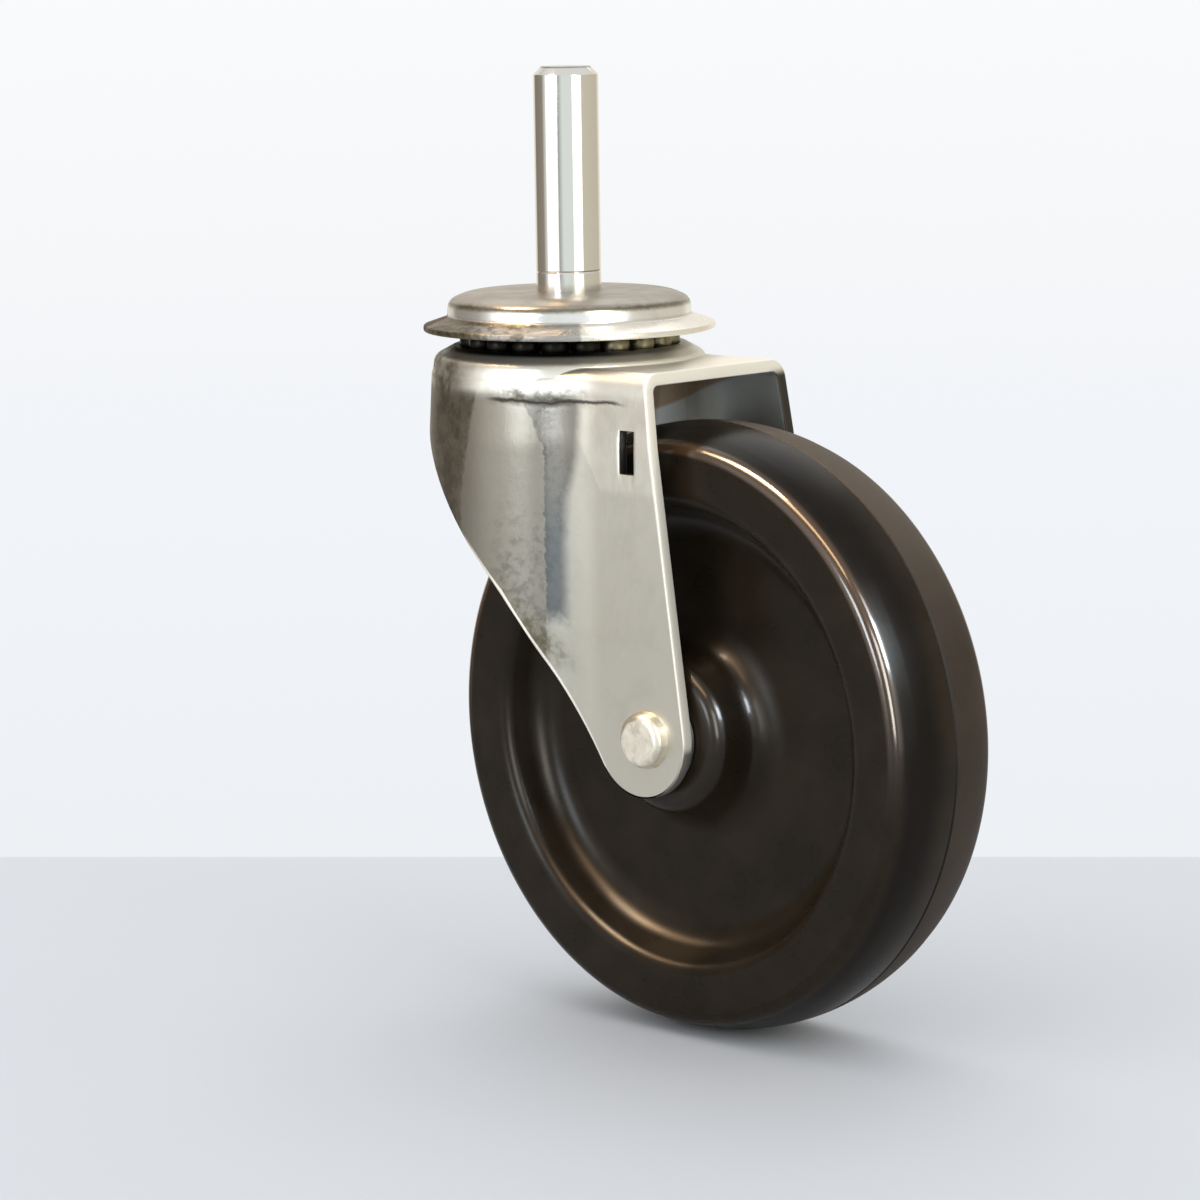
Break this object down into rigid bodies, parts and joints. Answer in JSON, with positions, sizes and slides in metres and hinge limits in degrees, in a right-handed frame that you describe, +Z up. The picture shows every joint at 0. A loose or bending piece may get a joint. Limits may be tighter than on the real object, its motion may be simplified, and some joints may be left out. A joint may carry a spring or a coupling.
{
  "type": "stem castor",
  "caption": "Swivel stem castor: plain round stem, domed cap over a double row ball head, pressed steel fork and a dished solid wheel on a riveted axle.",
  "frame": {"origin": "on the stem's axis, where the stem meets the top of the cap", "axes": "+Z up along the stem, +X the way the wheel trails, Y along the axle"},
  "size_m": [0.1088, 0.0494, 0.1591],
  "materials": {
    "stem_steel": "polished",
    "cap_steel": "satin plated, marked",
    "fork_steel": "satin plated, marked",
    "race_steel": "greased",
    "ball_steel": "ground, greased",
    "bush_steel": "drawn",
    "rivet_steel": "hammered, dull",
    "wheel_rubber": "hard, glossy"
  },
  "bodies": {
    "head": {"stem": "stem_steel", "top_cap": "cap_steel", "upper_race": "race_steel", "lower_race": "race_steel", "king_washer": "race_steel"},
    "fork": {"yoke": "fork_steel", "axle_rivet": "rivet_steel", "spacer_tube": "bush_steel", "left_washer": "bush_steel", "right_washer": "bush_steel"},
    "rolling_wheel": {"wheel": "wheel_rubber", "hub_bush": "bush_steel"},
    "upper_balls": {"upper_ball_1": "ball_steel", "upper_ball_2": "ball_steel", "upper_ball_3": "ball_steel", "upper_ball_4": "ball_steel", "upper_ball_5": "ball_steel", "upper_ball_6": "ball_steel", "upper_ball_7": "ball_steel", "upper_ball_8": "ball_steel", "upper_ball_9": "ball_steel", "upper_ball_10": "ball_steel", "upper_ball_11": "ball_steel", "upper_ball_12": "ball_steel", "upper_ball_13": "ball_steel", "upper_ball_14": "ball_steel", "upper_ball_15": "ball_steel", "upper_ball_16": "ball_steel", "upper_ball_17": "ball_steel", "upper_ball_18": "ball_steel", "upper_ball_19": "ball_steel", "upper_ball_20": "ball_steel"},
    "lower_balls": {"lower_ball_1": "ball_steel", "lower_ball_2": "ball_steel", "lower_ball_3": "ball_steel", "lower_ball_4": "ball_steel", "lower_ball_5": "ball_steel", "lower_ball_6": "ball_steel", "lower_ball_7": "ball_steel", "lower_ball_8": "ball_steel", "lower_ball_9": "ball_steel", "lower_ball_10": "ball_steel", "lower_ball_11": "ball_steel", "lower_ball_12": "ball_steel", "lower_ball_13": "ball_steel", "lower_ball_14": "ball_steel", "lower_ball_15": "ball_steel", "lower_ball_16": "ball_steel"}
  },
  "joints": [
    {"name": "swivel", "type": "hinge", "parent": "head", "child": "fork", "pos_m": [0, 0, 0], "axis": [0, 0, 1], "continuous": true},
    {"name": "wheel_spin", "type": "hinge", "parent": "fork", "child": "rolling_wheel", "pos_m": [0.0333, 0, -0.0708], "axis": [0, 1, 0], "continuous": true},
    {"name": "upper_ball_orbit", "type": "hinge", "parent": "head", "child": "upper_balls", "pos_m": [0, 0, 0], "axis": [0, 0, 1], "continuous": true},
    {"name": "lower_ball_orbit", "type": "hinge", "parent": "head", "child": "lower_balls", "pos_m": [0, 0, 0], "axis": [0, 0, 1], "continuous": true}
  ],
  "couplings": [
    {"joint": "upper_ball_orbit", "follows": "swivel", "ratio": 0.5},
    {"joint": "lower_ball_orbit", "follows": "swivel", "ratio": 0.5}
  ]
}
